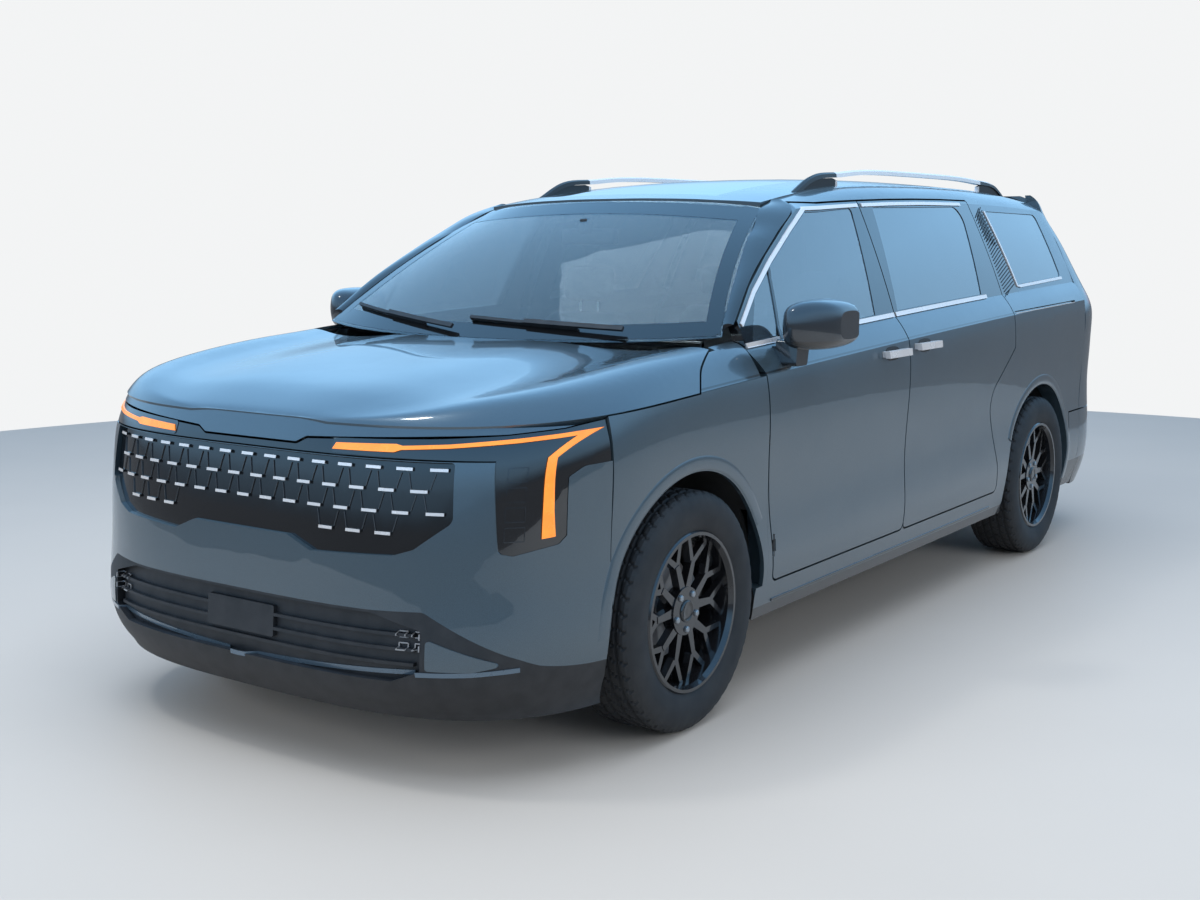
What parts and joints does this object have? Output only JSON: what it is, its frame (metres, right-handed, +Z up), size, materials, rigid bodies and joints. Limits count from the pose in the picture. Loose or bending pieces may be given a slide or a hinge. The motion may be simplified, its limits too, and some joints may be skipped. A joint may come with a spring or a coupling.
{
  "type": "minivan",
  "caption": "Long family van with a low rounded nose, sliding side doors, roof rails, a lifting tailgate and a glazed cabin with rows of seats.",
  "frame": {"origin": "on the floor, under the middle of the vehicle's length and width", "axes": "+Z up, the nose towards -Y, the vehicle's left side towards +X"},
  "size_m": [2.266, 5.1557, 1.7652],
  "materials": {
    "body_paint": "slate blue-grey metallic paint, gloss",
    "black_gloss": "gloss black",
    "black_matte": "dark textured plastic",
    "lamp_lens": "dark clear lamp cover",
    "amber_lamp": "amber daytime light bar",
    "red_lens": "red lamp lens",
    "clear_glass": "green-tinted clear glass",
    "dark_glass": "dark tinted glass",
    "satin_metal": "satin bright trim",
    "underbody": "dark coated steel",
    "cast_metal": "cast, unpainted",
    "steel": "plain exhaust steel",
    "seat_fabric": "dark woven cloth",
    "tyre": "black rubber",
    "wheel_black": "gloss black alloy"
  },
  "bodies": {
    "bonnet": {"bonnet": "body_paint"},
    "body": {"bulkhead": "underbody", "bumper_front": "body_paint", "bumper_rear": "body_paint", "cowl": "black_matte", "dashboard": "black_matte", "day_bars": "amber_lamp", "engine": "cast_metal", "exhaust": "steel", "fender_left": "body_paint", "fender_right": "body_paint", "floor_pan": "underbody", "front_seats": "seat_fabric", "front_suspension": "underbody", "fuel_tank": "black_matte", "grille": "black_gloss", "headlamps": "lamp_lens", "lower_intake": "black_matte", "lower_lip": "black_matte", "middle_seats": "seat_fabric", "rear_bench": "seat_fabric", "rear_suspension": "underbody", "roof_panel": "body_paint", "roof_rails": "satin_metal", "side_frame_left": "body_paint", "side_frame_right": "body_paint", "side_glass": "dark_glass", "slide_handles": "satin_metal", "sliding_door_left": "body_paint", "sliding_door_right": "body_paint", "tail_lamps": "red_lens", "window_trim": "satin_metal", "windscreen": "clear_glass", "windscreen_pillars": "black_gloss"},
    "door_left": {"door_front_left": "body_paint", "door_glass_left": "clear_glass", "door_trim_left": "satin_metal", "handle_front_left": "satin_metal", "mirror_left": "black_gloss"},
    "door_right": {"door_front_right": "body_paint", "door_glass_right": "clear_glass", "door_trim_right": "satin_metal", "handle_front_right": "satin_metal", "mirror_right": "black_gloss"},
    "steer_left": {"knuckle_left": "cast_metal"},
    "steer_right": {"knuckle_right": "cast_metal"},
    "wheel_front_left": {"rim_front_left": "wheel_black", "tyre_front_left": "tyre"},
    "wheel_front_right": {"rim_front_right": "wheel_black", "tyre_front_right": "tyre"},
    "wheel_rear_left": {"rim_rear_left": "wheel_black", "tyre_rear_left": "tyre"},
    "wheel_rear_right": {"rim_rear_right": "wheel_black", "tyre_rear_right": "tyre"},
    "steering_wheel": {"steering_wheel": "black_matte"},
    "tailgate": {"tailgate": "body_paint", "tailgate_glass": "dark_glass", "tailgate_lamp": "red_lens"}
  },
  "joints": [
    {"name": "door_left_hinge", "type": "hinge", "parent": "body", "child": "door_left", "pos_m": [0.975, -1.15, 0.75], "axis": [0, 0, -1], "range_deg": [0, 65]},
    {"name": "door_right_hinge", "type": "hinge", "parent": "body", "child": "door_right", "pos_m": [-0.975, -1.15, 0.75], "axis": [0, 0, 1], "range_deg": [0, 65]},
    {"name": "bonnet_hinge", "type": "hinge", "parent": "body", "child": "bonnet", "pos_m": [0, -1.375, 1.112], "axis": [-1, 0, 0], "range_deg": [0, 50]},
    {"name": "tailgate_hinge", "type": "hinge", "parent": "body", "child": "tailgate", "pos_m": [0, 2.168, 1.67279], "axis": [1, 0, 0], "range_deg": [0, 80]},
    {"name": "steer_left_pivot", "type": "hinge", "parent": "body", "child": "steer_left", "pos_m": [0.7615, -1.6425, 0.37], "axis": [-0.2419, 0, 0.9703], "range_deg": [-35, 35]},
    {"name": "steer_right_pivot", "type": "hinge", "parent": "body", "child": "steer_right", "pos_m": [-0.7615, -1.6425, 0.37], "axis": [0.2419, 0, 0.9703], "range_deg": [-35, 35]},
    {"name": "steering_wheel_turn", "type": "hinge", "parent": "body", "child": "steering_wheel", "pos_m": [0.4, -0.83, 0.985], "axis": [0, 0.9023, 0.4311], "range_deg": [-490, 490]},
    {"name": "wheel_front_left_spin", "type": "hinge", "parent": "steer_left", "child": "wheel_front_left", "pos_m": [0.8675, -1.6425, 0.37], "axis": [1, 0, 0], "continuous": true},
    {"name": "wheel_rear_left_spin", "type": "hinge", "parent": "body", "child": "wheel_rear_left", "pos_m": [0.8675, 1.4475, 0.37], "axis": [1, 0, 0], "continuous": true},
    {"name": "wheel_front_right_spin", "type": "hinge", "parent": "steer_right", "child": "wheel_front_right", "pos_m": [-0.8675, -1.6425, 0.37], "axis": [1, 0, 0], "continuous": true},
    {"name": "wheel_rear_right_spin", "type": "hinge", "parent": "body", "child": "wheel_rear_right", "pos_m": [-0.8675, 1.4475, 0.37], "axis": [1, 0, 0], "continuous": true}
  ],
  "couplings": [
    {"joint": "steer_right_pivot", "follows": "steer_left_pivot", "ratio": 1},
    {"joint": "steering_wheel_turn", "follows": "steer_left_pivot", "ratio": 14}
  ]
}
